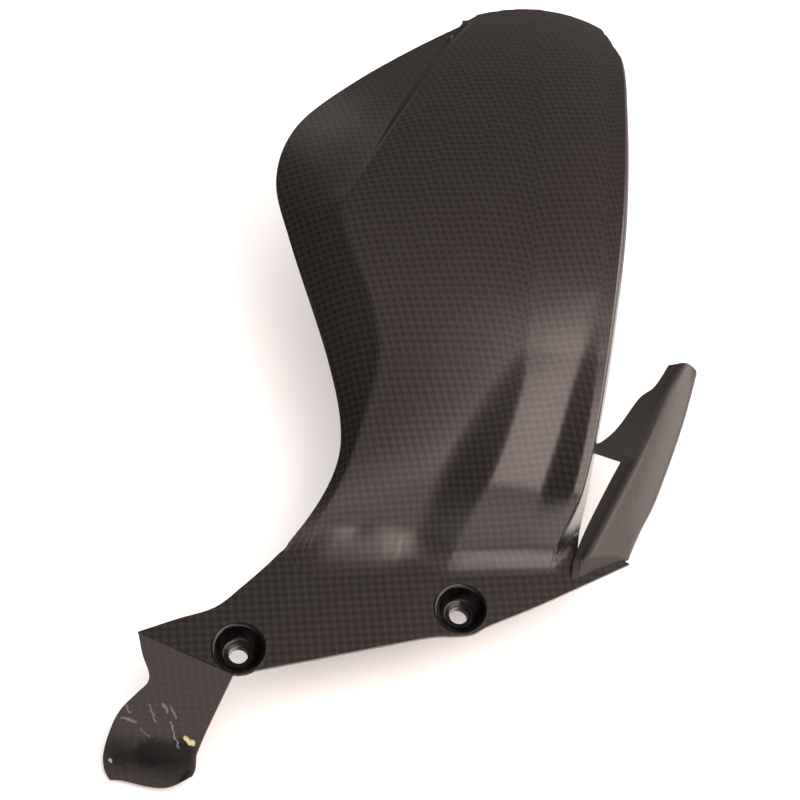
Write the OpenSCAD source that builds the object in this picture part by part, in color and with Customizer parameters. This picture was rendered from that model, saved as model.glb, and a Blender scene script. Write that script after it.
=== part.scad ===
// Rear fender of a motorcycle, moulded in one piece with its mounting
// flange, two bolt wells, side tab and chain guard.
// Frame: origin at the seat of the left bolt, X to the chain side,
// Y rearward along the wheel, Z up along the bolts. Millimetres.

/* [Laminate] */
// wall of the moulding
wall_t = 2; // [1.6:0.1:3]

/* [Bolt wells] */
// bore for each mounting bolt
bolt_d = 9; // [6:0.5:11]
// height of the flange top above the bolt seats
well_h = 14; // [12:0.5:17]
// floor of each well, thick enough to carry the bolt
floor_t = 6.5; // [4:0.5:8]
// outside width of the boss under each well
boss_d = 13.5; // [12:0.5:16]
// inside width of a well at its floor
floor_d = 15; // [13:0.5:17]
// inside width of a well under its rounded lip
mouth_d = 22; // [20:0.5:24]
// radius of the rounded lip
lip_r = 1.6; // [1:0.1:1.9]
// second bolt, across from the first
bolt_dx = 101; // [96:1:106]
// second bolt, behind the first
bolt_dy = 32; // [29:1:35]

/* [Leaf over the wheel] */
// outside radius of the leaf about the axle
leaf_r = 330; // [320:1:340]
// axle behind the first bolt
axle_y = 238; // [234:1:242]
// angle of the leaf root ahead of the axle
root_a = 33; // [32:0.5:34]
// angle of the leaf tip behind the axle
tip_a = 27.2; // [25:0.1:29]
// crown of the panel across its width
crown = 3; // [0:0.5:5]
// turn of the root line in plan
root_turn = 8.5; // [6:0.5:10]
// rows of facets along the leaf
leaf_rows = 36; // [24:1:44]

/* [Raised steps of the leaf] */
// rise of the inner step at the root
step_in = 7; // [5:0.5:9]
// rise of the outer step at the root
step_out = 5; // [3:0.5:6]
// width of the inner flank at the root
flank_in = 13; // [10:1:16]
// width of the outer flank at the root
flank_out = 9; // [7:1:11]
// how far the raised part runs forward of the rest
step_run = 9; // [6:0.5:12]

/* [Side walls] */
// drop of the right wall beside the chain guard
right_drop = 18; // [15:1:20]
// drop of the rolled right edge further up
roll_drop = 4; // [3:0.5:6]
// drop of the left wall at its corner
left_drop = 16; // [12:1:20]
// depth of the fold line beside the upper facet
fold_drop = 6; // [3:0.5:8]

/* [Side tab] */
// fold of the tab below the flange
tab_a = 48; // [42:1:54]
// distance from the fold to the turned end
tab_l = 48; // [42:1:52]
// slope of the turned end
tab_end_a = 22; // [15:1:35]

/* [Chain guard] */
// rise of the ridge above the flange at the front
guard_h = 8; // [6:0.5:10]
// rise of the ridge from front to tip
guard_rise = 26; // [22:1:28]
// fall from the ridge to the right edge
guard_fall = 7; // [5:0.5:9]

/* [Hidden] */
$fn = 48;
axle_z = well_h - leaf_r * cos(root_a);

function mix(a, b, t) = a + (b - a) * t;
function ramp(a, b, x) = let (t = max(0, min(1, (x - a) / (b - a)))) t * t * (3 - 2 * t);
function unit(v) = v / norm(v);

// smooth curve through a few pairs with rising keys
function tangent(t, i) = let (a = max(0, i - 1), b = min(len(t) - 1, i + 1))
    (t[b][1] - t[a][1]) / (t[b][0] - t[a][0]);
function span(t, x, i = 0) = i >= len(t) - 2 || x < t[i + 1][0] ? i : span(t, x, i + 1);
function along(t, x) = let (i = span(t, x), w = t[i + 1][0] - t[i][0],
        q = max(0, min(1, (x - t[i][0]) / w)), q2 = q * q, q3 = q2 * q)
    (2 * q3 - 3 * q2 + 1) * t[i][1] + (q3 - 2 * q2 + q) * w * tangent(t, i)
    + (3 * q2 - 2 * q3) * t[i + 1][1] + (q3 - q2) * w * tangent(t, i + 1);

// sheet of even wall on the under side of a grid of points
function facing(g, i, j) = let (m = len(g) - 1, n = len(g[0]) - 1)
    unit(cross(g[i][min(j + 1, n)] - g[i][max(j - 1, 0)], g[min(i + 1, m)][j] - g[max(i - 1, 0)][j]));
module sheet(g, t = wall_t) {
    m = len(g);
    n = len(g[0]);
    k = m * n;
    polyhedron(
        points = concat([for (r = g) for (p = r) p],
            [for (i = [0:m - 1]) for (j = [0:n - 1]) g[i][j] - t * facing(g, i, j)]),
        faces = concat(
            [for (i = [0:m - 2]) for (j = [0:n - 2]) let (a = i * n + j)
                for (f = [[a, a + n, a + n + 1], [a, a + n + 1, a + 1],
                          [k + a, k + a + n + 1, k + a + n], [k + a, k + a + 1, k + a + n + 1]]) f],
            [for (i = [0:m - 2]) let (a = i * n, b = a + n - 1)
                for (f = [[a, k + a, k + a + n], [a, k + a + n, a + n],
                          [b, k + b + n, k + b], [b, b + n, k + b + n]]) f],
            [for (j = [0:n - 2]) let (a = j, b = (m - 1) * n + j)
                for (f = [[a, a + 1, k + a + 1], [a, k + a + 1, k + a],
                          [b, k + b + 1, b + 1], [b, k + b, k + b + 1]]) f]));
}

// leaf outlines across the bike, by angle ahead of the axle
left_edge = [[-24, 80], [-12, 19.5], [-6, -4.8], [0, -11], [6, -0.7], [18, 26.8], [24, 36], [28, 31.4], [34, 11.6]];
left_fold = [[-24, 85], [1, 30], [4, 24], [8, 32], [12, 43], [17, 50], [22, 46.5], [27, 40], [34, 21]];
right_crest = [[-24, 159], [-19, 164], [-12, 164.5], [0, 164], [8, 162], [17, 157], [24, 149], [34, 141]];
left_fall = [[-24, 4], [-14, 9], [3, left_drop], [13, left_drop], [20, 12], [27, 4], [34, 1.5]];
right_fall = [[-24, roll_drop], [5, roll_drop], [12, 8], [18, 13], [24, right_drop], [34, right_drop]];
right_splay = [[-24, 2], [8, 3], [17, 4], [22, 6], [26, 8], [30, 11], [34, 14]];
inner_head = 15;
outer_head = 12;

function grown(head, a) = max(0, (a - head) / (root_a - head));
function at_axle(x, a, r) = [x, axle_y - r * sin(a), axle_z + r * cos(a)];
// section across the leaf: distance across and rise above the panel
function section(a) = let (
        e = along(left_edge, a), f = along(left_fold, a), d = along(left_fall, a),
        s = 0.4 + fold_drop * ramp(3, -24, a),
        k = along(right_crest, a),
        gi = grown(inner_head, a), go = grown(outer_head, a),
        i1 = mix(119, 78, gi), i2 = i1 + 1.5 + flank_in * gi,
        o1 = mix(154, 127, go), o2 = o1 + 1.5 + flank_out * go,
        hi = step_in * gi, ho = hi + step_out * go)
    [[e, -d], [mix(e, f, 0.5), mix(-d, -s, 0.62)], [f - 1.5, -s], [f, 0],
     [mix(f, i1, 0.25), 0], [mix(f, i1, 0.5), 0], [mix(f, i1, 0.75), 0], [i1, 0], [i2, hi],
     [mix(i2, o1, 0.4), hi], [mix(i2, o1, 0.75), hi], [o1, hi], [o2, ho], [mix(o2, k, 0.7), ho], [k, ho],
     [k + 1.5, ho - 1.5], [k + along(right_splay, a), ho - along(right_fall, a)]];
fold = 3;
crest = 14;
last = 16;
// share of the panel width passed at each column
end_section = section(-24);
function share(c) = let (f = end_section[fold][0], k = end_section[crest][0])
    max(0, min(1, (end_section[c][0] - f) / (k - f)));
function tip_angle(p) = -tip_a + 3 * pow(p, 4) + 4.2 * pow(p, 60) + 2.5 * pow(1 - p, 3);
// where each column of the section meets the flange top
root_section = section(root_a);
function root_y(c) = 50 + tan(root_turn) * root_section[c][0] - step_run * (c < 8 ? 0 : 1);

function leaf_point(c, s) = let (
        p = share(c), a = mix(root_a, tip_angle(p), s), v = section(a)[c], n = min(c, crest),
        q = at_axle(v[0], a, leaf_r + v[1] + crown * 4 * p * (1 - p) * ramp(root_a, 20, a)),
        foot = at_axle(0, root_a, leaf_r + root_section[n][1]),
        w = ramp(17, root_a, a))
    [q[0], q[1] + w * (root_y(n) - foot[1]), max(q[2] + w * (well_h - foot[2]), well_h - 1)];
function root_point(c, n) = let (q = leaf_point(c, 0))
    [q[0], q[1] - 4 * n, well_h - (n == 1 ? 0.3 : 1.2)];

leaf_grid = concat(
    [for (n = [2, 1]) [for (c = [0:last]) root_point(c, n)]],
    [for (i = [0:leaf_rows]) [for (c = [0:last])
        leaf_point(c, i / leaf_rows) + (i == 0 ? [0, 0, 0.7] : [0, 0, 0])]]);

// flange outline in plan, front edge from the tab to the guard, then back
front = [[-1, -13], [30, -3], [60, 7], [88, 16], [100, 18], [108, 20], [115, 25], [136, 37], [157, 50], [181, 65]];
back = [[172, 70], [160, 66], [140, 59], [128, 57], [94, 53], [80, 58], [50, 55], [22, 57], [14.5, 51.5], [8, 43], [-2, 31], [-13.5, 18.8], [-30, 11], [-47, 2.5]];

module flange() {
    translate([0, 0, well_h - wall_t]) linear_extrude(wall_t) polygon(concat(front, back));
}

module well_body() {
    top = well_h - wall_t / 2;
    rotate_extrude() polygon([[0, 0], [boss_d / 2, 0], [boss_d / 2, floor_t / 2],
        [floor_d / 2 + wall_t, floor_t], [mouth_d / 2 + wall_t, top], [0, top]]);
}
module well_space() {
    translate([0, 0, -1]) cylinder(h = floor_t + 2, d = bolt_d);
    rotate_extrude() polygon(concat(
        [[0, floor_t], [floor_d / 2, floor_t], [mouth_d / 2, well_h - lip_r]],
        [for (a = [15:15:90]) [mouth_d / 2 + lip_r * (1 - cos(a)), well_h - lip_r + lip_r * sin(a)]],
        [[mouth_d / 2 + lip_r, well_h + 9], [0, well_h + 9]]));
}
module at_bolts() {
    children();
    translate([bolt_dx, bolt_dy, 0]) children();
}

// tab hung from the fold at the left end of the flange
fold_from = [-47, 2.5];
fold_to = [-1, -13];
tab_w = norm(fold_to - fold_from);
tab_left = [[0, 0], [10, 5.6], [17, 11], [22, 12], [29, 9], [41, 4], [52, 2.5], [64, 4], [71, 8], [75, 14]];
tab_right = [[0, tab_w], [46, 45], [55, 47], [65, 44], [78, 40]];
tab_reach = [[0, 74], [0.25, 72], [0.7, 69], [0.9, 65], [1, 57]];
// distance out and down for a distance along the tab
function tab_path(d) = let (bend = 12, r = bend / ((tab_a - tab_end_a) * PI / 180),
        q = max(0, min(bend, d - tab_l)), t = tab_a - q / bend * (tab_a - tab_end_a),
        l = min(d, tab_l), m = max(0, d - tab_l - bend))
    [l * cos(tab_a) + r * (sin(tab_a) - sin(t)) + m * cos(tab_end_a),
     l * sin(tab_a) + r * (cos(t) - cos(tab_a)) + m * sin(tab_end_a)];
function tab_point(q, s) = let (d = s * along(tab_reach, q),
        u = mix(along(tab_left, d), along(tab_right, d), q),
        e = unit(fold_to - fold_from), o = tab_path(d) - (s == 0 ? [1.4, 0] : [0, 0]),
        g = fold_from + u * e + o[0] * [e[1], -e[0]])
    [g[0], g[1], well_h - 0.5 - o[1]];
module tab() {
    sheet([for (i = [16:-1:0]) [for (j = [0:6]) tab_point(j / 6, i / 16)]]);
}

// chain guard: edges and ridge by distance rearward
guard_from = 61;
slot_edge = [[61, 153], [72, 156], [92, 164], [109, 171.5]];
lug_edge = [[111, 153], [115, 161.5], [129, 171], [143, 179.5], [148, 185.5], [161, 192.5]];
guard_ridge = [[61, 159], [112, 181], [146, 193], [161, 200]];
guard_right = [[61, 180], [80, 188], [97, 194.5], [133, 203], [161, 208]];
guard_line = [[61, guard_h], [112, guard_h + 0.65 * guard_rise], [146, guard_h + 0.92 * guard_rise], [161, guard_h + guard_rise]];
function guard_row(y) = let (z = well_h + along(guard_line, y), r = along(guard_ridge, y), k = along(guard_right, y),
        l = y < 110 ? along(slot_edge, y) : along(lug_edge, y),
        lead = y < 110 ? 0 : 4 * ramp(129, 111, y), lag = 5 * ramp(96, guard_from, y),
        fall = guard_fall * mix(0.5, 1, ramp(guard_from, 96, y)))
    [[l, y + lead, z - 3 - 0.12 * (r - l)], [mix(l, r, 0.5), y + lead / 2, z - 1.6 - 0.06 * (r - l)], [r - 2, y, z - 0.5], [r + 1, y, z],
     [mix(r, k, 0.5), y + lag / 2, z - fall * 0.35], [k - 1, y + lag, z - fall + 0.8], [k, y + lag, z - fall - 2.5]];
// foot of the guard on the flange
guard_foot = [for (x = [153, 156, 157, 160, 168, 176, 177]) [x, 52.5 + 0.55 * (x - 153), well_h - 0.8]];
module guard() {
    sheet(concat([guard_foot],
        [for (y = [61, 67, 74, 81, 88, 95, 102, 109, 111, 115, 121, 129, 136, 142, 145, 148, 154, 161]) guard_row(y)]));
}

module fender() {
    color([0.13, 0.12, 0.12]) difference() {
        union() {
            flange();
            sheet(leaf_grid);
            at_bolts() well_body();
            tab();
            guard();
        }
        at_bolts() well_space();
    }
}

fender();
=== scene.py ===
"""Rear fender of a motorcycle, hand laid in woven carbon and clear coated.

The moulding is one piece: a leaf over the wheel, a mounting flange with two
bolt wells, a tab at its left end and a chain guard at its right end. Shapes
are worked out in millimetres in the frame of the CAD model, and every mesh is
scaled to metres when it is made.
"""

import math

import bmesh
import bpy
from mathutils import Matrix, Vector


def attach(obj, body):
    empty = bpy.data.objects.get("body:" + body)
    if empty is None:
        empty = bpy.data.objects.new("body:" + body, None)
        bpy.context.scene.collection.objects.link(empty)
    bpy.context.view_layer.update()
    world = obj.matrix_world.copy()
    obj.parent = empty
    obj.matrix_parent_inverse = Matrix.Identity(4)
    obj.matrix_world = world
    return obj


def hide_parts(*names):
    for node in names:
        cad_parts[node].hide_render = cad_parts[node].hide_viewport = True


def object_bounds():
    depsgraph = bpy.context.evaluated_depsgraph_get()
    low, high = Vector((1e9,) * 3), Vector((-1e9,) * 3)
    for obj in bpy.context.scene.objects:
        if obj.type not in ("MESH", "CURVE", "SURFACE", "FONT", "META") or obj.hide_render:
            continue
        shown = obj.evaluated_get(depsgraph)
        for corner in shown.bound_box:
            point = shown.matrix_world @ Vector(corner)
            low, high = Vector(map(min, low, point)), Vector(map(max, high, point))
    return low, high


bl_info = {
    "name": "Motorcycle Rear Fender",
    "version": (1, 0, 0),
    "blender": (4, 5, 0),
    "location": "View3D > Sidebar > Fender",
    "description": "Builds the visible skin of a woven carbon rear fender",
    "category": "Object",
}

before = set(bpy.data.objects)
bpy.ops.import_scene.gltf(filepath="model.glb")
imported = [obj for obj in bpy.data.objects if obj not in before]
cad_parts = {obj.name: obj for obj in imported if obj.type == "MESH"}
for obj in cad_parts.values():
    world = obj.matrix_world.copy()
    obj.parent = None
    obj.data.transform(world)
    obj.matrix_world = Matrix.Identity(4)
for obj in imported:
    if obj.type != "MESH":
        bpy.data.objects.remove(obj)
CAD_BOX = [list(corner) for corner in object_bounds()]

MM = 0.001
FRONT = Vector((0, -1, 0))
UP = Vector((0, 0, 1))

# Settings


class FenderShape(bpy.types.PropertyGroup):
    """Sizes of the moulding. The fillets and the rim are the visible skin's own."""

    wall: bpy.props.FloatProperty(
        name="Wall", description="Thickness of the laminate", default=2 * MM, unit="LENGTH")
    well_height: bpy.props.FloatProperty(
        name="Well height", description="Flange top above the bolt seats", default=14 * MM,
        unit="LENGTH")
    floor_wall: bpy.props.FloatProperty(
        name="Floor", description="Thickness of a well's floor", default=6.5 * MM, unit="LENGTH")
    boss: bpy.props.FloatProperty(
        name="Boss", description="Outside width of the boss under a well", default=13.5 * MM,
        unit="LENGTH")
    bore: bpy.props.FloatProperty(
        name="Bore", description="Bolt hole in the floor of a well", default=9 * MM, unit="LENGTH")
    floor_width: bpy.props.FloatProperty(
        name="Well floor", description="Inside width of a well at its floor", default=15 * MM,
        unit="LENGTH")
    mouth_width: bpy.props.FloatProperty(
        name="Well mouth", description="Inside width of a well under its lip", default=22 * MM,
        unit="LENGTH")
    lip: bpy.props.FloatProperty(
        name="Lip", description="Radius of the rounded lip of a well", default=1.6 * MM, unit="LENGTH")
    bolt_step: bpy.props.FloatVectorProperty(
        name="Bolt step", description="Second bolt from the first", default=(101 * MM, 32 * MM, 0.0),
        subtype="TRANSLATION", unit="LENGTH")
    root_fillet: bpy.props.FloatProperty(
        name="Step fillet", description="Run of the fillet where the raised steps meet the flange",
        default=7 * MM, unit="LENGTH")
    root_sweep: bpy.props.FloatProperty(
        name="Panel fillet", description="Run of the fillet where the panel meets the flange",
        default=14 * MM, unit="LENGTH")
    rim_round: bpy.props.FloatProperty(
        name="Rim rounding", description="Rounding of the trimmed rim", default=0.45 * MM, unit="LENGTH")


class FenderFinish(bpy.types.PropertyGroup):
    """Colours and weave of the laminate."""

    fibre: bpy.props.StringProperty(
        name="Fibre colour", description="Lit carbon fibre under the clear coat, sRGB hex",
        default="332D2A")
    shade: bpy.props.StringProperty(
        name="Crossing colour", description="Fibre that dips under at a crossing, sRGB hex",
        default="1D1815")
    # near black of the wells' epoxy, also painted shade deep in the wells and along the creased fold beside
    # the upper facet
    resin_and_painted_shade: bpy.props.StringProperty(
        name="Resin colour", description="Resin rich crease and well walls, sRGB hex", default="060505")
    weave_step: bpy.props.FloatProperty(
        name="Weave step", description="Distance between like crossings along the panel",
        default=4 * MM, unit="LENGTH")


class FenderStage(bpy.types.PropertyGroup):
    """Floor, light and camera."""

    floor_colour: bpy.props.StringProperty(
        name="Floor colour", description="Plain pale floor, sRGB hex", default="F7F6F5")
    overhead_power: bpy.props.FloatProperty(
        name="Overhead", description="Power of the softbox high up on the right",
        default=11.0, unit="POWER")
    side_power: bpy.props.FloatProperty(
        name="Side", description="Power of the low softbox on the right", default=9.0, unit="POWER")
    window_power: bpy.props.FloatProperty(
        name="Window", description="Power of the dim window behind on the left", default=0.5,
        unit="POWER")
    fill_power: bpy.props.FloatProperty(
        name="Fill", description="Power of the wide fill that lights the floor", default=60.0,
        unit="POWER")
    room_light: bpy.props.FloatProperty(
        name="Room", description="Brightness of the pale room on matt surfaces", default=0.7, min=0.0)
    camera_at: bpy.props.FloatVectorProperty(
        name="Camera", description="Place of the camera", default=(0.02223, -0.33116, 0.83441),
        subtype="TRANSLATION", unit="LENGTH")
    lens: bpy.props.FloatProperty(
        name="Lens", description="Focal length on a 36 mm sensor", default=85.5, unit="CAMERA")


# Curves


def mix(a, b, t):
    return a + (b - a) * t


def clamp(t):
    return max(0.0, min(1.0, t))


def ramp(a, b, x):
    """Smooth step from 0 at a to 1 at b."""
    t = clamp((x - a) / (b - a))
    return t * t * (3 - 2 * t)


def along(table, x):
    """Smooth curve through a few pairs with rising keys."""
    i = 0
    while i < len(table) - 2 and x >= table[i + 1][0]:
        i += 1

    def slope(n):
        lo, hi = table[max(0, n - 1)], table[min(len(table) - 1, n + 1)]
        return (hi[1] - lo[1]) / (hi[0] - lo[0])

    (x0, y0), (x1, y1) = table[i], table[i + 1]
    w = x1 - x0
    q = clamp((x - x0) / w)
    return ((2 * q**3 - 3 * q**2 + 1) * y0 + (q**3 - 2 * q**2 + q) * w * slope(i)
            + (3 * q**2 - 2 * q**3) * y1 + (q**3 - q**2) * w * slope(i + 1))


def bezier(a, b, c, t):
    return a * (1 - t) ** 2 + b * 2 * t * (1 - t) + c * t * t


def rounded(points, cuts, rounds, steps=5):
    """The line through points with each corner turned by a short curve.

    cuts holds the pieces of each straight, rounds how far each inner corner's
    curve reaches along its two straights."""
    last = len(points) - 1
    line = [points[0]]
    start = points[0]
    for i in range(1, last + 1):
        here, before = points[i], points[i - 1]
        if i < last:
            after = points[i + 1]
            reach = min(rounds[i], 0.46 * (here - before).length, 0.46 * (after - here).length)
            stop = here + (before - here).normalized() * reach
            leave = here + (after - here).normalized() * reach
        else:
            stop = here
        line += [start.lerp(stop, k / cuts[i - 1]) for k in range(1, cuts[i - 1] + 1)]
        if i < last:
            line += [bezier(stop, here, leave, k / steps) for k in range(1, steps + 1)]
            start = leave
    return line


# Leaf, as in CAD but for wider and higher steps, a steeper right wall and a
# filleted root

LEAF_R = 330.0
AXLE_Y = 238.0
ROOT_A = 33.0
END_A = -24.0
TIP_A = 27.2
# degrees by which the tip draws back: to the right, at its right corner, to the left
TIP_FALLS_RIGHT, TIP_CORNER, TIP_FALLS_LEFT = 3, 4.2, 2.5
CROWN = 3.0
ROOT_TURN = 8.5
ROOT_Y = 50
STEP_IN, STEP_OUT = 9.5, 5.5
PLATEAU_FALL = 2.2
STEP_RUN = 9.0
INNER_HEAD, OUTER_HEAD = 15.0, 12.0
FOLD_EDGE, FOLD_DROP, FOLD_WIDENS = 0.4, 6.0, 6.0
FOLD_DEEPENS = 3.0
STEP_GROWTH = 1.15
CROWN_FULL = 20.0
FIRST_RAISED = 8
PANEL_LEVELS, STEPS_LEVEL = 17.0, 26.0
WELL_H = 14.0
AXLE_Z = WELL_H - LEAF_R * math.cos(math.radians(ROOT_A))

# lines of the leaf across the bike, by degrees ahead of the axle
LEFT_EDGE = [(-24, 80), (-12, 19.5), (-6, -4.8), (0, -11), (6, -0.7), (18, 26.8), (24, 36),
             (28, 31.4), (34, 11.6)]
LEFT_FOLD = [(-24, 85), (1, 30), (4, 24), (8, 32), (12, 43), (17, 50), (22, 46.5), (27, 40), (34, 21)]
RIGHT_CREST = [(-24, 159), (-19, 164), (-12, 164.5), (0, 164), (8, 162), (17, 158.5), (24, 154),
               (29, 148.5), (34, 142)]
LEFT_FALL = [(-24, 4), (-14, 9), (3, 16), (13, 16), (20, 12), (27, 4), (34, 1.5)]
RIGHT_FALL = [(-24, 4), (5, 4), (12, 8), (18, 13), (24, 18), (34, 18)]
RIGHT_SPLAY = [(-24, 2), (8, 3), (17, 4), (22, 4.5), (26, 6), (30, 9.5), (34, 13)]
INNER_FOOT = [(14, 119), (16.9, 112.7), (19.1, 106.7), (22.8, 96.8), (27.4, 85.8), (30.2, 80),
              (33, 76)]
INNER_HEAD_LINE = [(14, 120.5), (16.7, 120.3), (18.9, 118.5), (23, 113.4), (26.9, 106.7), (30.6, 99),
                   (33, 93)]
OUTER_FOOT = [(9, 154), (11.5, 149.3), (14.2, 147), (18.4, 142.5), (22.5, 138.7), (26.4, 134.6),
              (33, 127)]
OUTER_HEAD_LINE = [(9, 155.5), (14, 155.6), (18.2, 154.2), (22.2, 151.8), (26.1, 148.2), (29.6, 144.2),
                   (33, 138.6)]
FOLD, CREST = 3, 14


def grown(head, a):
    return max(0.0, (a - head) / (ROOT_A - head))


def at_axle(x, a, r):
    t = math.radians(a)
    return Vector((x, AXLE_Y - r * math.sin(t), AXLE_Z + r * math.cos(t)))


def section(a):
    """Distance across and rise above the panel, at an angle round the axle."""
    e, f, d = along(LEFT_EDGE, a), along(LEFT_FOLD, a), along(LEFT_FALL, a)
    opened = ramp(FOLD_DEEPENS, END_A, a)
    s = FOLD_EDGE + FOLD_DROP * opened
    k = along(RIGHT_CREST, a)
    gi, go = grown(INNER_HEAD, a), grown(OUTER_HEAD, a)
    i1, i2 = along(INNER_FOOT, a), along(INNER_HEAD_LINE, a)
    o1, o2 = along(OUTER_FOOT, a), min(along(OUTER_HEAD_LINE, a), k - 2)
    hi = STEP_IN * gi ** STEP_GROWTH
    low = hi - PLATEAU_FALL * go
    ho = low + (STEP_OUT + PLATEAU_FALL) * go
    return [(e, -d), (mix(e, f, 0.5), mix(-d, -s, 0.62)), (f - 1.5 - FOLD_WIDENS * opened, -s), (f, 0),
            (mix(f, i1, 0.25), 0), (mix(f, i1, 0.5), 0), (mix(f, i1, 0.75), 0), (i1, 0), (i2, hi),
            (mix(i2, o1, 0.4), mix(hi, low, 0.4)), (mix(i2, o1, 0.75), mix(hi, low, 0.75)),
            (o1, low), (o2, ho), (mix(o2, k, 0.7), ho), (k, ho),
            (k + 1.5, ho - 1.5), (k + along(RIGHT_SPLAY, a), ho - along(RIGHT_FALL, a))]


END_SECTION = section(END_A)
ROOT_SECTION = section(ROOT_A)


def share(c):
    """How far across the leaf a corner of the section lies, 0 at the fold and 1 at the crest."""
    lo, hi = END_SECTION[FOLD][0], END_SECTION[CREST][0]
    return clamp((END_SECTION[c][0] - lo) / (hi - lo))


def tip_angle(p):
    """Where the leaf ends, by the share p across it."""
    return -TIP_A + TIP_FALLS_RIGHT * p**4 + TIP_CORNER * p**60 + TIP_FALLS_LEFT * (1 - p) ** 3


def root_y(c):
    """How far back a corner of the section meets the flange; the raised ones run on ahead."""
    run = 0 if c < FIRST_RAISED else STEP_RUN
    return ROOT_Y + math.tan(math.radians(ROOT_TURN)) * ROOT_SECTION[c][0] - run


def leaf_row(s):
    """Corners of the section at a share s of the way from root to tip."""
    row = []
    for c in range(len(ROOT_SECTION)):
        p = share(c)
        a = mix(ROOT_A, tip_angle(p), s)
        v = section(a)[c]
        n = min(c, CREST)
        q = at_axle(v[0], a, LEAF_R + v[1] + CROWN * 4 * p * (1 - p) * ramp(ROOT_A, CROWN_FULL, a))
        foot = at_axle(0, ROOT_A, LEAF_R + ROOT_SECTION[n][1])
        w = ramp(PANEL_LEVELS if c < FIRST_RAISED else STEPS_LEVEL, ROOT_A, a)
        q.y += w * (root_y(n) - foot.y)
        q.z = max(q.z + w * (WELL_H - foot.z), WELL_H - 1)
        row.append(q)
    return row


# pieces of each straight and reach of each corner, from the left edge across
LEAF_CUTS = [4, 4, 1, 4, 3, 3, 4, 4, 3, 3, 3, 3, 2, 2, 1, 4]
LEAF_ROUNDS = [0, 14, 0.6, 1.0, 9, 9, 9, 5, 2.2, 4, 4, 3.5, 1.6, 2, 0.9, 0.7, 0]
LEAF_ROWS, EXTRA_ROWS = 170, 12
FILLET_PARTS = 8
# the fillet opens under the panel and tightens under the steps, by place across
PANEL_FROM, PANEL_WHOLE = 8, 34
STEPS_FROM, STEPS_WHOLE = 56, 90
# it comes up through the flange over a short run, so that its start doesn't show
SUNK, SUNK_RUN = 0.06, 2
TIP_EVENING = 14
# column that the leaf's cloth is measured across from
LEAF_MIDDLE = 50
# columns beside the upper facet, and shares of the rows between which painted shade sets in on the creased
# fold
CREASE_COLUMNS = range(16, 21)
CREASE_FROM, CREASE_WHOLE = 0.56, 0.72

# hollows at the root of the panel
GROOVE_X, GROOVE_Y, GROOVE_DEPTH, GROOVE_WIDTH = 24, (63.0, 65.5), 0.25, 3.2
GROOVE_IN, GROOVE_OUT = (18, 28), (50, 62)
DIMPLE, DIMPLE_SIZE, DIMPLE_DEPTH = Vector((48, 65.5)), Vector((5.5, 2.6)), 0.8


def leaf_lines(tight, wide):
    """Rows of the finished leaf, from the fillet on the flange to the tip.

    The fillet is wide under the panel and tight under the raised steps."""
    shares = [mix(t * t, t, 0.6) for t in (i / LEAF_ROWS for i in range(LEAF_ROWS + 1))]
    rows = [rounded(leaf_row(s), LEAF_CUTS, LEAF_ROUNDS) for s in shares]
    columns = []
    for c in range(len(rows[0])):
        line = [row[c] for row in rows]
        root = Vector((line[0].x, line[0].y, WELL_H))
        fillet = mix(wide * ramp(PANEL_FROM, PANEL_WHOLE, root.x), tight,
                     ramp(STEPS_FROM, STEPS_WHOLE, root.x))
        fillet = max(fillet, tight * 0.5)
        # the fillet takes the place of the first stretch of the column
        gone, n = 0.0, 0
        while gone < fillet:
            gone += (line[n + 1] - line[n]).length
            n += 1
        foot = root + FRONT * fillet
        start = [foot + FRONT * SUNK_RUN - UP * SUNK]
        start += [bezier(foot, root, line[n], k / FILLET_PARTS) + UP * SUNK / 2
                  for k in range(FILLET_PARTS)]
        columns.append(start + line[n:])
    ends = evened([column[-1].y for column in columns], TIP_EVENING)
    columns = [
        [pressed(p) for p in resample(trimmed(column, y), LEAF_ROWS + EXTRA_ROWS, FILLET_PARTS + 1)]
        for column, y in zip(columns, ends)]
    return [list(row) for row in zip(*columns)]


def evened(values, rounds):
    """values with each but the ends drawn towards its neighbours, so many times over."""
    for _ in range(rounds):
        inner = [(a + 2 * b + c) / 4 for a, b, c in zip(values, values[1:], values[2:])]
        values = [values[0]] + inner + [values[-1]]
    return values


def trimmed(line, y):
    """line cut off where it passes y."""
    n = len(line) - 1
    while n > 1 and line[n - 1].y > y:
        n -= 1
    a, b = line[n - 1], line[n]
    return line if b.y <= y else line[:n] + [a.lerp(b, (y - a.y) / (b.y - a.y))]


def pressed(p):
    """p with the shallow groove and the dimple at the panel's root pressed into it."""
    across = ramp(*GROOVE_IN, p.x) * (1 - ramp(*GROOVE_OUT, p.x))
    off = p.y - mix(*GROOVE_Y, (p.x - GROOVE_X) / GROOVE_X)
    groove = GROOVE_DEPTH * across * math.exp(-(off / GROOVE_WIDTH) ** 2)
    dimple = DIMPLE_DEPTH * math.exp(-((p.x - DIMPLE.x) / DIMPLE_SIZE.x) ** 2
                                     - ((p.y - DIMPLE.y) / DIMPLE_SIZE.y) ** 2)
    return Vector((p.x, p.y, p.z - groove - dimple))


def resample(line, count, keep):
    """line with its first keep points kept and the rest spread to count in all."""
    head, tail = line[:keep], line[keep:]
    lengths = [0.0]
    for a, b in zip(tail, tail[1:]):
        lengths.append(lengths[-1] + (b - a).length)
    out = []
    i = 0
    n = count - keep
    for k in range(n):
        goal = lengths[-1] * k / (n - 1)
        while i < len(tail) - 2 and lengths[i + 1] < goal:
            i += 1
        w = lengths[i + 1] - lengths[i]
        out.append(tail[i].lerp(tail[i + 1], clamp((goal - lengths[i]) / w)))
    return head + out


# Mesh makers

# how the cloth was laid: a turn and a shear all over, and a further turn that
# grows up the leaf from DRAPE_FROM
CLOTH_TURN, CLOTH_SHEAR, CLOTH_STRETCH = 0.2, 0.17, 1.08
DRAPE_FROM, DRAPE_GROWTH, DRAPE_RUN = 70.0, 0.16, 30
RIM_ANGLE = 58


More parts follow.
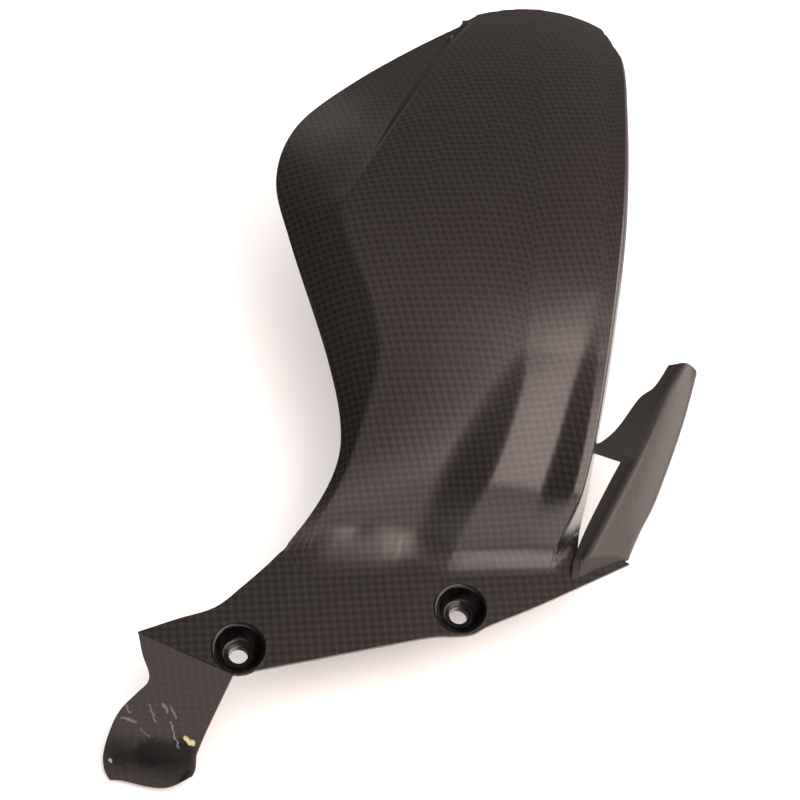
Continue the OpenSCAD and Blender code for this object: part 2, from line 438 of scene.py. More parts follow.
def laid_out(grid, u_column, v_start):
    """Cloth coordinates of a grid in millimetres: across from one column, along from each root."""
    cloth = []
    travelled = [v_start(p) for p in grid[0]]
    for i, row in enumerate(grid):
        if i:
            travelled = [v + (a - b).length for v, a, b in zip(travelled, row, grid[i - 1])]
        across = [0.0] * len(row)
        across[u_column] = row[u_column].x
        for j in range(u_column + 1, len(row)):
            across[j] = across[j - 1] + (row[j] - row[j - 1]).length
        for j in range(u_column - 1, -1, -1):
            across[j] = across[j + 1] - (row[j] - row[j + 1]).length
        cloth.append(list(zip(across, travelled)))
    return [[draped(u, v) for u, v in row] for row in cloth]


def draped(u, v):
    """Cloth coordinates turned and sheared as the cloth was laid, more so up the leaf."""
    up = max(0.0, v - DRAPE_FROM)
    return (u + CLOTH_TURN * v + DRAPE_GROWTH * up * up / (up + DRAPE_RUN),
            CLOTH_STRETCH * (v - CLOTH_SHEAR * u))


def grid_object(name, grid, cloth):
    """Mesh object from a grid of millimetre points, with its cloth coordinates as a UV map."""
    mesh = bmesh.new()
    uv = mesh.loops.layers.uv.new("weave")
    verts = [[mesh.verts.new(p * MM) for p in row] for row in grid]
    for i in range(len(grid) - 1):
        for j in range(len(grid[0]) - 1):
            where = ((i, j), (i, j + 1), (i + 1, j + 1), (i + 1, j))
            face = mesh.faces.new([verts[r][c] for r, c in where])
            face.smooth = True
            for loop, (r, c) in zip(face.loops, where):
                loop[uv].uv = cloth[r][c]
    return new_object(name, mesh)


def new_object(name, mesh):
    data = bpy.data.meshes.new(name)
    mesh.to_mesh(data)
    mesh.free()
    obj = bpy.data.objects.new(name, data)
    bpy.context.scene.collection.objects.link(obj)
    return obj


def applied(obj):
    """Turns obj's modifiers into plain mesh."""
    made = bpy.data.meshes.new_from_object(obj.evaluated_get(bpy.context.evaluated_depsgraph_get()))
    obj.modifiers.clear()
    old, obj.data = obj.data, made
    bpy.data.meshes.remove(old)
    made.name = obj.name
    return obj


def thickened(obj, wall, rim):
    """Gives a sheet its wall below the drawn face and rounds its rim."""
    solid = obj.modifiers.new("wall", "SOLIDIFY")
    solid.thickness = wall
    solid.offset = -1
    solid.use_even_offset = False
    edge = obj.modifiers.new("rim", "BEVEL")
    edge.width = rim
    edge.segments = 3
    edge.limit_method = "ANGLE"
    edge.angle_limit = math.radians(RIM_ANGLE)
    edge.harden_normals = True
    return applied(obj)


def finished(obj, material, replaces=False):
    """Dresses a piece and ties it to the frame."""
    obj.data.materials.clear()
    obj.data.materials.append(material)
    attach(obj, "root")
    if replaces:
        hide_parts("fender")
    return obj


# Materials


def linear(hexa, alpha=1.0):
    """Linear colour from an sRGB hex value."""
    parts = [int(hexa[i:i + 2], 16) / 255 for i in (0, 2, 4)]
    return tuple(c / 12.92 if c <= 0.04045 else ((c + 0.055) / 1.055) ** 2.4 for c in parts) + (alpha,)


def add(tree, kind, settings=None, **links):
    """Adds one node. settings are its own values, links its sockets by name or number.

    A link named i0, i1 and so on goes to the socket of that number."""
    node = tree.nodes.new(kind)
    for key, value in (settings or {}).items():
        setattr(node, key, value)
    for key, value in links.items():
        numbered = key[0] == "i" and key[1:].isdigit()
        socket = node.inputs[int(key[1:]) if numbered else key.replace("_", " ")]
        if isinstance(value, bpy.types.NodeSocket):
            tree.links.new(value, socket)
        else:
            socket.default_value = value
    return node


def new_material(name):
    material = bpy.data.materials.new(name)
    material.use_nodes = True
    material.node_tree.nodes.clear()
    return material, material.node_tree


def weave_mask(tree, step):
    """Plain weave: 1 where one set of tows lies on top, 0 where the other does."""
    uv = add(tree, "ShaderNodeUVMap", {"uv_map": "weave"})
    parts = add(tree, "ShaderNodeSeparateXYZ", Vector=uv.outputs[0])
    turn = 2 * math.pi / (step / MM)
    waves = []
    for part in parts.outputs[:2]:
        angle = add(tree, "ShaderNodeMath", {"operation": "MULTIPLY"}, i0=part, i1=turn).outputs[0]
        waves.append(add(tree, "ShaderNodeMath", {"operation": "COSINE"}, i0=angle).outputs[0])
    both = add(tree, "ShaderNodeMath", {"operation": "ADD"}, i0=waves[0], i1=waves[1]).outputs[0]
    return add(tree, "ShaderNodeMath", {"operation": "MULTIPLY_ADD"}, i0=both, i1=0.25,
               i2=0.5).outputs[0], uv


# millimetres along the cloth, counted from the left bolt, between which painted light gives way to painted
# shade on the weave: lit crossings near the flange, shaded ones up the leaf, where the light falls
# otherwise
PAINTED_LIT_UNTIL, PAINTED_SHADED_FROM = 90.0, 190.0


def woven_carbon(name, finish, roughness, coat, coat_roughness, contrast, fibre=None, metallic=0.6,
                 marks=None):
    """Plain weave carbon in epoxy: dark fibre that shines along each tow, so the
    crossings read as a fine lattice of dots under a smooth clear coat."""
    material, tree = new_material(name)
    mask, uv = weave_mask(tree, finish.weave_step)
    # painted light: near the flange the crossings are painted lit, up the leaf painted shaded, as the light
    # falls on them there
    along_cloth = add(tree, "ShaderNodeSeparateXYZ", Vector=uv.outputs[0]).outputs[1]
    least = add(tree, "ShaderNodeMapRange", Value=along_cloth, From_Min=PAINTED_LIT_UNTIL, From_Max=PAINTED_SHADED_FROM,
                To_Min=0.12, To_Max=0.3).outputs[0]
    most = add(tree, "ShaderNodeMath", {"operation": "ADD"}, i0=least, i1=0.6).outputs[0]
    sharp = add(tree, "ShaderNodeMapRange", {"interpolation_type": "SMOOTHSTEP"},
                Value=mask, From_Min=least, From_Max=most, To_Min=0.0, To_Max=1.0).outputs[0]
    # tows never lie quite alike, so the shine wanders over a few centimetres
    where = add(tree, "ShaderNodeTexCoord").outputs["Object"]
    drift = add(tree, "ShaderNodeTexNoise", Vector=where, Scale=34.0, Detail=2.0, Roughness=0.5).outputs[0]
    amount = add(tree, "ShaderNodeMath", {"operation": "MULTIPLY"}, i0=sharp, i1=contrast).outputs[0]
    wander = add(tree, "ShaderNodeMath", {"operation": "MULTIPLY_ADD"}, i0=drift, i1=0.3,
                 i2=-0.15).outputs[0]
    amount = add(tree, "ShaderNodeMath", {"operation": "ADD"}, i0=amount, i1=wander).outputs[0]
    colour = add(tree, "ShaderNodeMix", {"data_type": "RGBA"})
    tree.links.new(amount, colour.inputs["Factor"])
    colour.inputs[6].default_value = linear(fibre or finish.fibre)
    colour.inputs[7].default_value = linear(finish.shade)
    # painted shade, laid in near black over the weave along the creased fold beside the upper facet
    crease = add(tree, "ShaderNodeAttribute", {"attribute_name": "crease"}).outputs["Fac"]
    shown = laid_over(tree, colour.outputs[2], crease, finish.resin_and_painted_shade)
    shown = marks(tree, shown) if marks else shown
    bump = add(tree, "ShaderNodeBump", Strength=0.5, Distance=0.00012, Height=mask)
    shader = add(tree, "ShaderNodeBsdfPrincipled", Base_Color=shown, Metallic=metallic,
                 Roughness=roughness, IOR=1.5, Coat_Weight=coat, Coat_IOR=1.5,
                 Coat_Roughness=coat_roughness)
    tree.links.new(bump.outputs[0], shader.inputs["Normal"])
    out = add(tree, "ShaderNodeOutputMaterial")
    tree.links.new(shader.outputs[0], out.inputs["Surface"])
    return material


def stroke(tree, where, start, end, solid, fade):
    """1 on a line over the tab from start to end, falling to 0; in plan, in millimetres."""
    ax, ay, dx, dy = start[0], start[1], end[0] - start[0], end[1] - start[1]
    off = add(tree, "ShaderNodeVectorMath", {"operation": "SUBTRACT"}, i0=where, i1=(ax, ay, 0)).outputs[0]
    run = add(tree, "ShaderNodeVectorMath", {"operation": "DOT_PRODUCT"}, i0=off,
              i1=(dx / (dx * dx + dy * dy), dy / (dx * dx + dy * dy), 0)).outputs[1]
    held = add(tree, "ShaderNodeClamp", Value=run).outputs[0]
    near = add(tree, "ShaderNodeVectorMath", {"operation": "SCALE"}, i0=(dx, dy, 0), Scale=held).outputs[0]
    gap = add(tree, "ShaderNodeVectorMath", {"operation": "DISTANCE"}, i0=off, i1=near).outputs[1]
    return add(tree, "ShaderNodeMapRange", {"interpolation_type": "SMOOTHSTEP"}, Value=gap,
               From_Min=solid, From_Max=solid + fade, To_Min=1.0, To_Max=0.0).outputs[0]


def laid_over(tree, under, mask, hexa, strength=1.0):
    """Colour under with another laid over it where mask is 1."""
    layer = add(tree, "ShaderNodeMix", {"data_type": "RGBA"})
    amount = add(tree, "ShaderNodeMath", {"operation": "MULTIPLY"}, i0=mask, i1=strength).outputs[0]
    tree.links.new(amount, layer.inputs["Factor"])
    tree.links.new(under, layer.inputs[6])
    layer.inputs[7].default_value = linear(hexa)
    return layer.outputs[2]


# wear and painted shade on the tab in plan: start, end, solid half width, fade, colour, strength
TAB_WEAR_AND_SHADE = [
    # the first three rows are painted shade at the tab's bend and lower part; then pale scratches, a fleck
    # of dried epoxy, a pale spot and a small dark mark
    ((-52, -41), (-20, -46), 1.5, 9.0, "0E0C0B", 0.62),
    ((-50, -43), (-36, -42), 1.0, 4.0, "0B0A09", 0.6),
    ((-37, -40.5), (-20, -40.5), 3.0, 4.5, "000000", 1.0),
    ((-27.5, -29.4), (-22.8, -38.6), 0.1, 0.55, "A8A29C", 0.45),
    ((-28.6, -23.7), (-25.1, -27.7), 0.1, 0.5, "A8A29C", 0.38),
    ((-38.7, -22.6), (-34.6, -29.2), 0.08, 0.5, "A09A94", 0.35),
    ((-32.2, -22.7), (-29.3, -25.9), 0.1, 0.5, "A8A29C", 0.38),
    ((-49.8, -22.7), (-46.7, -25.9), 0.1, 0.55, "A8A29C", 0.38),
    ((-50.9, -27.3), (-43.6, -29.2), 0.1, 0.55, "A8A29C", 0.38),
    ((-41.5, -31.6), (-36.5, -34.8), 0.08, 0.5, "A09A94", 0.3),
    ((-20.4, -34.8), (-16.2, -37.2), 0.5, 0.7, "D8CDA0", 0.95),
    ((-54.4, -44.4), (-53.6, -44.9), 0.3, 0.5, "B4AEA8", 0.8),
    ((-20.1, -51.7), (-16.8, -47.2), 0.5, 0.8, "050404", 0.9),
]
# marks that fade over more than a millimetre are painted shade, and waver more
SHADE_FADE = 1
SHADE_WAVER, SCRATCH_WAVER = 6.0, 3.5


def worn_and_shaded_tab(tree, colour):
    """Painted shade at the tab's bend and lower part as black smears, pale scratches and a fleck of dried
    epoxy on the tab, where the photo has them.
    """
    where = add(tree, "ShaderNodeTexCoord").outputs["Object"]
    plan = add(tree, "ShaderNodeVectorMath", {"operation": "MULTIPLY"}, i0=where,
               i1=(1 / MM, 1 / MM, 0)).outputs[0]
    # a wavering edge keeps the marks from looking drawn
    waver = add(tree, "ShaderNodeTexNoise", Vector=plan, Scale=0.35, Detail=3.0, Roughness=0.6).outputs[1]
    centred = add(tree, "ShaderNodeVectorMath", {"operation": "SUBTRACT"}, i0=waver,
                  i1=(0.5, 0.5, 0.5)).outputs[0]
    blurred, bent = (add(tree, "ShaderNodeVectorMath", {"operation": "MULTIPLY_ADD"}, i0=centred,
                         i1=(reach, reach, 0), i2=plan).outputs[0]
                     for reach in (SHADE_WAVER, SCRATCH_WAVER))
    for start, end, solid, fade, hexa, strength in TAB_WEAR_AND_SHADE:
        place = blurred if fade > SHADE_FADE else bent
        colour = laid_over(tree, colour, stroke(tree, place, start, end, solid, fade), hexa, strength)
    return colour


def black_well_and_painted_shade(finish):
    """Pooled clear epoxy over carbon, near black and wet looking, as in a pressed well; the near black is
    also painted shade deep in the wells.
    """
    material, tree = new_material("pooled_epoxy_gloss")
    where = add(tree, "ShaderNodeTexCoord").outputs["Object"]
    ripple = add(tree, "ShaderNodeTexNoise", Vector=where, Scale=260.0, Detail=3.0, Roughness=0.55)
    bump = add(tree, "ShaderNodeBump", Strength=0.25, Distance=0.0002, Height=ripple.outputs[0])
    rough = add(tree, "ShaderNodeMapRange", Value=ripple.outputs[0], From_Min=0.3, From_Max=0.7,
                To_Min=0.12, To_Max=0.3)
    # near black base colour: the wells' own epoxy, and painted shade deep in the wells
    shader = add(tree, "ShaderNodeBsdfPrincipled", Base_Color=linear(finish.resin_and_painted_shade),
                 Roughness=rough.outputs[0], IOR=1.55)
    tree.links.new(bump.outputs[0], shader.inputs["Normal"])
    out = add(tree, "ShaderNodeOutputMaterial")
    tree.links.new(shader.outputs[0], out.inputs["Surface"])
    return material


def floor_paper(colour):
    """Matt background paper."""
    material, tree = new_material("matt_background_paper")
    shader = add(tree, "ShaderNodeBsdfPrincipled", Base_Color=linear(colour), Roughness=0.95, IOR=1.45)
    out = add(tree, "ShaderNodeOutputMaterial")
    tree.links.new(shader.outputs[0], out.inputs["Surface"])
    return material


def material_named(name, maker):
    return bpy.data.materials.get(name) or maker()


# epoxy laminate with its clear coat polished: the weave shines under a soft mirror
GLOSS = dict(roughness=0.48, coat=1.0, coat_roughness=0.26, contrast=0.9)
# face moulded against peel ply, as on the tab: dull, with next to no mirror
PEEL_PLY = dict(roughness=0.55, coat=0.1, coat_roughness=0.3, contrast=0.25, fibre="3B3633",
                metallic=0.4, marks=worn_and_shaded_tab)
# clear coat rubbed down, as on the guard: half the mirror, and the weave just shows
RUBBED = dict(roughness=0.5, coat=0.5, coat_roughness=0.3, contrast=0.12, fibre="3C3835")


def laminate(name, look):
    """The woven carbon of this name, made when it is first asked for."""
    finish = bpy.context.scene.fender_finish
    return material_named(name, lambda: woven_carbon(name, finish, **look))


# Flange, as in CAD

FRONT_EDGE = [(-1, -13), (30, -3), (60, 7), (88, 16), (100, 18), (108, 20), (115, 25), (136, 37),
              (157, 50), (181, 65)]
BACK_EDGE = [(172, 70), (160, 66), (140, 59), (128, 57), (94, 53), (80, 58), (50, 55), (22, 57),
             (14.5, 51.5), (8, 43), (-2, 31), (-13.5, 18.8), (-30, 11), (-47, 2.5)]
# flat ring of a well outside its lip, where it meets the flange
LIP_COLLAR = 0.3
WELL_STEPS = 72
CHAMFER, LIP_PROUD = 0.3, 0.02


def eased(points, parts=5):
    """Smooth line through points, Catmull-Rom, ends kept."""
    out = []
    for i in range(len(points) - 1):
        p0, p1, p2, p3 = (Vector(points[max(0, min(len(points) - 1, i + n))]) for n in (-1, 0, 1, 2))
        for k in range(parts):
            t = k / parts
            out.append(0.5 * (2 * p1 + (p2 - p0) * t + (2 * p0 - 5 * p1 + 4 * p2 - p3) * t**2
                              + (3 * p1 - p0 - 3 * p2 + p3) * t**3))
    return out + [Vector(points[-1])]


def flange_mesh(shape):
    """Flange plate with a round opening over each well."""
    outline = eased(FRONT_EDGE) + eased(BACK_EDGE)
    mesh = bmesh.new()
    uv = mesh.loops.layers.uv.new("weave")
    rim = [mesh.verts.new((p.x, p.y, WELL_H)) for p in outline]
    edges = [mesh.edges.new((rim[i], rim[(i + 1) % len(rim)])) for i in range(len(rim))]
    reach = (shape.mouth_width / 2 + shape.lip) / MM + LIP_COLLAR
    for centre in well_places(shape):
        turns = [2 * math.pi * k / WELL_STEPS for k in range(WELL_STEPS)]
        ring = [mesh.verts.new((centre.x + reach * math.cos(t), centre.y + reach * math.sin(t), WELL_H))
                for t in turns]
        edges += [mesh.edges.new((ring[k], ring[(k + 1) % WELL_STEPS])) for k in range(WELL_STEPS)]
    bmesh.ops.triangle_fill(mesh, use_beauty=True, use_dissolve=False, edges=edges)
    # the fill also closes the openings, so what lies over a well is taken out
    inside = [f for f in mesh.faces if any(
        (f.calc_center_median().xy - c.xy).length < reach - 0.1 for c in well_places(shape))]
    bmesh.ops.delete(mesh, geom=inside, context="FACES")
    bmesh.ops.recalc_face_normals(mesh, faces=mesh.faces)
    if sum(f.normal.z for f in mesh.faces) < 0:
        bmesh.ops.reverse_faces(mesh, faces=mesh.faces)
    for face in mesh.faces:
        face.smooth = True
        for loop in face.loops:
            loop[uv].uv = draped(*loop.vert.co.xy)
    bmesh.ops.scale(mesh, vec=(MM, MM, MM), verts=mesh.verts)
    return mesh


def well_places(shape):
    return [Vector((0, 0, 0)), Vector(shape.bolt_step) / MM]


# Tab, as in CAD but for a hair off its end

TAB_A, TAB_L, TAB_END_A = 48.0, 48.0, 22.0
FOLD_FROM, FOLD_TO = Vector((-47, 2.5)), Vector((-1, -13))
TAB_LEFT = [(0, 0), (10, 5.6), (17, 11), (22, 12), (29, 9), (41, 4), (52, 2.5), (64, 4), (71, 8),
            (75, 14)]
TAB_RIGHT = [(0, (FOLD_TO - FOLD_FROM).length), (46, 45), (55, 47), (65, 44), (78, 40)]
TAB_REACH = [(0, 74), (0.25, 72), (0.7, 69), (0.9, 65), (1, 57)]
TAB_BEND = 12.0
TAB_TRIM = 0.15
TAB_ROWS, TAB_COLUMNS = 56, 28
TAB_UNDER = 0.5


def tab_path(d):
    """Distance out and down for a distance along the tab."""
    r = TAB_BEND / math.radians(TAB_A - TAB_END_A)
    q = max(0.0, min(TAB_BEND, d - TAB_L))
    turned = TAB_A - q / TAB_BEND * (TAB_A - TAB_END_A)
    sloped, flat = min(d, TAB_L), max(0.0, d - TAB_L - TAB_BEND)
    a, t, e = (math.radians(v) for v in (TAB_A, turned, TAB_END_A))
    return Vector((sloped * math.cos(a) + r * (math.sin(a) - math.sin(t)) + flat * math.cos(e),
                   sloped * math.sin(a) + r * (math.cos(t) - math.cos(a)) + flat * math.sin(e)))


def tab_point(q, s):
    """Point of the tab at a share q across it and s along it from the fold."""
    d = s * (along(TAB_REACH, q) - TAB_TRIM)
    u = mix(along(TAB_LEFT, d), along(TAB_RIGHT, d), q)
    e = (FOLD_TO - FOLD_FROM).normalized()
    o = tab_path(d)
    g = FOLD_FROM + u * e + o.x * Vector((e.y, -e.x))
    return Vector((g.x, g.y, WELL_H - TAB_UNDER - o.y))


# Chain guard, as in CAD but for a straighter right edge

GUARD_H, GUARD_RISE, GUARD_FALL = 8.0, 26.0, 7.0
GUARD_FROM, GUARD_LEVEL = 61, 96
SLOT_END, LUG_FROM, LUG_WHOLE = 110, 111, 129
LUG_LEAD, FLANK_LAG = 4, 5
SLOT_EDGE = [(61, 153), (72, 156), (92, 164), (109, 171.5)]
LUG_EDGE = [(111, 153), (115, 161.5), (129, 171), (143, 179.5), (148, 185.5), (161, 192.5)]
GUARD_RIDGE = [(61, 159), (112, 181), (146, 193), (161, 200)]
GUARD_RIGHT = [(61, 180), (80, 185.8), (97, 191.8), (133, 202), (161, 208)]
GUARD_LINE = [(61, GUARD_H), (112, GUARD_H + 0.65 * GUARD_RISE), (146, GUARD_H + 0.92 * GUARD_RISE),
              (161, GUARD_H + GUARD_RISE)]


def guard_row(y):
    """Corners of the guard's section at a place along it, from the slot to the right edge."""
    z = WELL_H + along(GUARD_LINE, y)
    r, k = along(GUARD_RIDGE, y), along(GUARD_RIGHT, y)
    left = along(SLOT_EDGE, y) if y < SLOT_END else along(LUG_EDGE, y)
    lead = 0 if y < SLOT_END else LUG_LEAD * (1 - ramp(LUG_FROM, LUG_WHOLE, y))
    lag = FLANK_LAG * (1 - ramp(GUARD_FROM, GUARD_LEVEL, y))
    fall = GUARD_FALL * mix(0.5, 1, ramp(GUARD_FROM, GUARD_LEVEL, y))
    return [Vector(p) for p in (
        (left, y + lead, z - 3 - 0.12 * (r - left)),
        (mix(left, r, 0.5), y + lead / 2, z - 1.6 - 0.06 * (r - left)),
        (r - 2, y, z - 0.5), (r + 1, y, z), (mix(r, k, 0.5), y + lag / 2, z - fall * 0.35),
        (k - 1, y + lag, z - fall + 0.8), (k, y + lag, z - fall - 2.5))]


# where the guard starts, on a slant under the flange's right end
GUARD_FOOT = [Vector((x, 52.5 + 0.55 * (x - 153), WELL_H - 0.8))
              for x in (153, 156, 157, 160, 168, 176, 177)]
# one row of points every other millimetre, on both sides of the slot's end
GUARD_STATIONS = [*range(61, 111, 2), *range(111, 163, 2)]
# column that the cloth of the tab and of the guard is measured across from
CLOTH_COLUMN = 14
GUARD_CUTS = [4, 4, 2, 4, 4, 3]
GUARD_ROUNDS = [0, 5, 1.4, 1.4, 4, 1.1, 0]


# Stage

FLOOR_GAP, FLOOR_REACH = 0.0005, 4.0
# name, place, aim, width and height, the setting with its power, colour, mirrored in the gloss
SOFTBOXES = [
    ("overhead_softbox", (0.66, -0.20, 1.25), (0.66, -0.20, 0.0), (0.84, 1.06), "overhead_power",
     "FFEAE4", True),
    ("side_softbox", (0.95, 0.15, 0.30), (0.17, 0.15, 0.05), (1.3, 0.62), "side_power", "FFF4F0", True),
    ("far_window", (-0.50, 1.45, 0.60), (0.03, 0.28, 0.05), (0.5, 0.5), "window_power", "FFF8F4", True),
    ("floor_fill", (0.1, 0.4, 2.4), (0.1, 0.15, 0.0), (3.0, 3.0), "fill_power", "FFFFFF", False),
]
AIR_COLOUR = "F4E8E2"
# what the gloss mirrors of the room: axis of the direction, where it starts and
# is whole, strength at both
ROOM_ACROSS = (0, -1.0, 1.0, 0.05, 0.38)
ROOM_AHEAD = (1, -0.55, -0.95, 0.0, 1.8)
ROOM_BELOW = (2, -0.3, -0.7, 0.0, 1.3)
ROOM_RIGHT = (0, 0.0, 0.3, 0.0, 1.0)
CAMERA_RIGHT = Vector((0.99229, 0.07906, 0.09540))
CAMERA_UP = Vector((-0.11599, 0.86351, 0.49081))
SENSOR = 36


# Operators


class FENDER_OT_leaf(bpy.types.Operator):
    """Leaf over the wheel, with its steps, folds and walls"""

    bl_idname = "fender.leaf"
    bl_label = "Leaf"

    def execute(self, context):
        shape = context.scene.fender_shape
        grid = leaf_lines(shape.root_fillet / MM, shape.root_sweep / MM)
        cloth = laid_out(grid, LEAF_MIDDLE, lambda p: p.y)
        leaf = grid_object("fender_leaf", grid, cloth)
        # painted shade: the creased fold beside the upper facet is coloured near black where shade falls in
        # it
        crease = leaf.data.attributes.new("crease", "FLOAT", "POINT")
        crease.data.foreach_set("value", [
            ramp(CREASE_FROM, CREASE_WHOLE, i / len(grid)) if j in CREASE_COLUMNS else 0.0
            for i, row in enumerate(grid) for j in range(len(row))])
        thickened(leaf, shape.wall, shape.rim_round)
        finished(leaf, laminate("clear_coated_plain_weave_carbon", GLOSS), replaces=True)
        return {"FINISHED"}


class FENDER_OT_flange(bpy.types.Operator):
    """Mounting flange"""

    bl_idname = "fender.flange"
    bl_label = "Flange"

    def execute(self, context):
        shape = context.scene.fender_shape
        flange = new_object("fender_flange", flange_mesh(shape))
        thickened(flange, shape.wall, shape.rim_round)
        finished(flange, laminate("clear_coated_plain_weave_carbon", GLOSS))
        return {"FINISHED"}


class FENDER_OT_wells(bpy.types.Operator):
    """Two bolt wells, set by one node tree"""

    bl_idname = "fender.wells"
    bl_label = "Bolt wells"

    def execute(self, context):
        shape = context.scene.fender_shape
        finish = context.scene.fender_finish
        profile = self.profile(shape)
        mesh = bmesh.new()
        mesh.loops.layers.uv.new("weave")
        verts = [mesh.verts.new((r * MM, 0, z * MM)) for r, z in profile]
        edges = [mesh.edges.new((verts[i], verts[(i + 1) % len(verts)])) for i in range(len(verts))]
        bmesh.ops.spin(mesh, geom=verts + edges, cent=(0, 0, 0), axis=(0, 0, 1), angle=2 * math.pi,
                       steps=WELL_STEPS, use_merge=True)
        bmesh.ops.recalc_face_normals(mesh, faces=mesh.faces)
        for face in mesh.faces:
            face.smooth = True
        well = new_object("fender_wells", mesh)
        black = material_named("pooled_epoxy_gloss", lambda: black_well_and_painted_shade(finish))
        tree, sockets = self.tree(black)
        nodes = well.modifiers.new("places", "NODES")
        nodes.node_group = tree
        nodes[sockets["Step"]] = tuple(shape.bolt_step)
        nodes[sockets["Count"]] = 2
        applied(well)
        finished(well, black)
        return {"FINISHED"}

    @staticmethod
    def profile(shape):
        """Wall of a well in section, distance out and up, from the bore round the outside."""
        wall, bore, floor = shape.wall / MM, shape.bore / MM / 2, shape.floor_width / MM / 2
        mouth, lip, top = shape.mouth_width / MM / 2, shape.lip / MM, shape.well_height / MM
        deep, boss = shape.floor_wall / MM, shape.boss / MM / 2
        inner = [(bore, CHAMFER), (bore, deep - 0.5), (bore + 0.15, deep - 0.15), (bore + 0.5, deep)]
        inner += [(floor - 1.2, deep), (floor - 0.4, deep + 0.15), (floor + 0.1, deep + 0.7)]
        inner += [(mix(floor, mouth, t), mix(deep, top - lip, t)) for t in (0.3, 0.6, 0.9)]
        turn = [math.radians(v) for v in range(15, 91, 15)]
        inner += [(mouth + lip * (1 - math.cos(t)), top - lip + lip * math.sin(t) + LIP_PROUD)
                  for t in turn]
        inner += [(mouth + lip + LIP_COLLAR, top + LIP_PROUD)]
        outer = [(mouth + lip + LIP_COLLAR, top - wall + 0.1), (mouth + wall, top - wall),
                 (floor + wall, deep), (boss, deep / 2), (boss, CHAMFER), (boss - CHAMFER, 0),
                 (bore + CHAMFER, 0)]
        return inner + outer

    @staticmethod
    def tree(material):
        """Node tree that repeats a mesh at even steps."""
        tree = bpy.data.node_groups.new("even_places", "GeometryNodeTree")
        face = tree.interface
        face.new_socket("Geometry", in_out="INPUT", socket_type="NodeSocketGeometry")
        step = face.new_socket("Step", in_out="INPUT", socket_type="NodeSocketVector")
        count = face.new_socket("Count", in_out="INPUT", socket_type="NodeSocketInt")
        face.new_socket("Geometry", in_out="OUTPUT", socket_type="NodeSocketGeometry")
        given = add(tree, "NodeGroupInput")
        line = add(tree, "GeometryNodeMeshLine", Count=given.outputs["Count"], Offset=given.outputs["Step"])
        copies = add(tree, "GeometryNodeInstanceOnPoints", Points=line.outputs[0],
                     Instance=given.outputs["Geometry"])
        real = add(tree, "GeometryNodeRealizeInstances", Geometry=copies.outputs[0])
        dressed = add(tree, "GeometryNodeSetMaterial", Geometry=real.outputs[0], Material=material)
        out = add(tree, "NodeGroupOutput")
        tree.links.new(dressed.outputs[0], out.inputs[0])
        return tree, {"Step": step.identifier, "Count": count.identifier}


class FENDER_OT_tab(bpy.types.Operator):
    """Tab folded down from the left end of the flange"""

    bl_idname = "fender.tab"
    bl_label = "Tab"

    def execute(self, context):
        shape = context.scene.fender_shape
        grid = [[tab_point(j / TAB_COLUMNS, i / TAB_ROWS) for j in range(TAB_COLUMNS + 1)]
                for i in range(TAB_ROWS, -1, -1)]
        cloth = laid_out(grid, CLOTH_COLUMN, lambda p: p.y)
        tab = grid_object("fender_tab", grid, cloth)
        thickened(tab, shape.wall, shape.rim_round)
        finished(tab, laminate("peel_ply_satin_carbon", PEEL_PLY))
        return {"FINISHED"}


class FENDER_OT_guard(bpy.types.Operator):
    """Chain guard with its lug"""

    bl_idname = "fender.guard"
    bl_label = "Chain guard"

    def execute(self, context):
        shape = context.scene.fender_shape
        rows = [GUARD_FOOT] + [guard_row(y) for y in GUARD_STATIONS]
        grid = [rounded(row, GUARD_CUTS, GUARD_ROUNDS, 4) for row in rows]
        cloth = laid_out(grid, CLOTH_COLUMN, lambda p: p.y)
        guard = grid_object("fender_chain_guard", grid, cloth)
        thickened(guard, shape.wall, shape.rim_round)
        finished(guard, laminate("rubbed_satin_carbon", RUBBED))
        return {"FINISHED"}


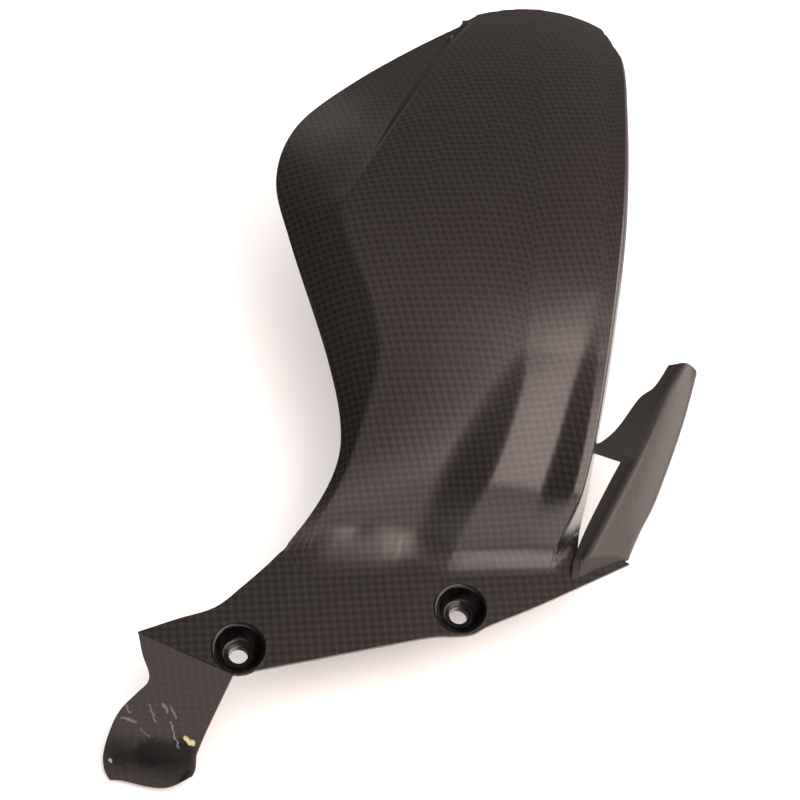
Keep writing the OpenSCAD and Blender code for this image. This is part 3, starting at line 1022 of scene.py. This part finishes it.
class FENDER_OT_stage(bpy.types.Operator):
    """Floor, softboxes and camera"""

    bl_idname = "fender.stage"
    bl_label = "Stage"

    def execute(self, context):
        stage = context.scene.fender_stage
        scene = context.scene
        scene.view_settings.view_transform = "Standard"
        mesh = bmesh.new()
        bmesh.ops.create_grid(mesh, x_segments=1, y_segments=1, size=FLOOR_REACH)
        floor = new_object("stage_floor", mesh)
        floor.location.z = CAD_BOX[0][2] - FLOOR_GAP
        floor.data.materials.append(material_named(
            "matt_background_paper", lambda: floor_paper(stage.floor_colour)))
        floor.visible_glossy = False
        for name, at, towards, size, power, colour, mirrored in SOFTBOXES:
            box = self.softbox(name, at, towards, size, getattr(stage, power), colour)
            box.visible_glossy = mirrored
        scene.world = self.air(stage)
        self.camera(scene, stage)
        return {"FINISHED"}

    @staticmethod
    def air(stage):
        """Pale room, of which the gloss mirrors less on the left and above than on the right and ahead."""
        world = bpy.data.worlds.new("studio_air")
        world.use_nodes = True
        tree = world.node_tree
        tree.nodes.clear()
        way = add(tree, "ShaderNodeTexCoord").outputs["Generated"]
        way = add(tree, "ShaderNodeSeparateXYZ", Vector=way).outputs
        across, ahead, below, right = (
            add(tree, "ShaderNodeMapRange", Value=way[axis], From_Min=start, From_Max=whole,
                To_Min=dim, To_Max=bright).outputs[0]
            for axis, start, whole, dim, bright in (ROOM_ACROSS, ROOM_AHEAD, ROOM_BELOW, ROOM_RIGHT))
        level = add(tree, "ShaderNodeMath", {"operation": "ADD"}, i0=across, i1=ahead).outputs[0]
        # the pale floor shows only in what faces right
        floor = add(tree, "ShaderNodeMath", {"operation": "MULTIPLY"}, i0=below, i1=right).outputs[0]
        mirrored = add(tree, "ShaderNodeMath", {"operation": "ADD"}, i0=level, i1=floor).outputs[0]
        glossy = add(tree, "ShaderNodeLightPath").outputs["Is Glossy Ray"]
        strength = add(tree, "ShaderNodeMix", {"data_type": "FLOAT"})
        tree.links.new(glossy, strength.inputs[0])
        strength.inputs[2].default_value = stage.room_light
        tree.links.new(mirrored, strength.inputs[3])
        room = add(tree, "ShaderNodeBackground", Color=linear(AIR_COLOUR), Strength=strength.outputs[0])
        out = add(tree, "ShaderNodeOutputWorld")
        tree.links.new(room.outputs[0], out.inputs["Surface"])
        return world

    @staticmethod
    def softbox(name, at, towards, size, power, colour):
        light = bpy.data.lights.new(name, "AREA")
        light.color = linear(colour)[:3]
        light.shape = "RECTANGLE"
        light.size, light.size_y = size
        light.energy = power
        obj = bpy.data.objects.new(name, light)
        bpy.context.scene.collection.objects.link(obj)
        obj.location = at
        obj.rotation_euler = (Vector(towards) - Vector(at)).to_track_quat("-Z", "Y").to_euler()
        return obj

    @staticmethod
    def camera(scene, stage):
        """Camera above and ahead of the fender, rolled a little to the left."""
        data = bpy.data.cameras.new("photo_view")
        data.sensor_width = SENSOR
        data.lens = stage.lens
        data.clip_start, data.clip_end = 0.01, 20
        camera = bpy.data.objects.new("photo_view", data)
        scene.collection.objects.link(camera)
        back = CAMERA_RIGHT.cross(CAMERA_UP)
        turn = Matrix((CAMERA_RIGHT, CAMERA_UP, back)).transposed().to_4x4()
        camera.matrix_world = Matrix.Translation(stage.camera_at) @ turn
        scene.camera = camera


class FENDER_PT_panel(bpy.types.Panel):
    """Lists the pieces of the fender"""

    bl_idname = "FENDER_PT_panel"
    bl_label = "Rear Fender"
    bl_space_type = "VIEW_3D"
    bl_region_type = "UI"
    bl_category = "Fender"

    def draw(self, context):
        column = self.layout.column(align=True)
        for step in STEPS:
            column.operator(step.bl_idname)


STEPS = (FENDER_OT_leaf, FENDER_OT_flange, FENDER_OT_wells, FENDER_OT_tab, FENDER_OT_guard,
         FENDER_OT_stage)
GROUPS = {"fender_shape": FenderShape, "fender_finish": FenderFinish, "fender_stage": FenderStage}


def register():
    for cls in (*GROUPS.values(), *STEPS, FENDER_PT_panel):
        bpy.utils.register_class(cls)
    for name, group in GROUPS.items():
        setattr(bpy.types.Scene, name, bpy.props.PointerProperty(type=group))


def unregister():
    for name in GROUPS:
        delattr(bpy.types.Scene, name)
    for cls in (FENDER_PT_panel, *reversed(STEPS), *reversed(GROUPS.values())):
        bpy.utils.unregister_class(cls)


def main():
    """Makes every piece."""
    register()
    for step in STEPS:
        kind, action = step.bl_idname.split(".")
        getattr(getattr(bpy.ops, kind), action)()


if __name__ == "__main__":
    main()
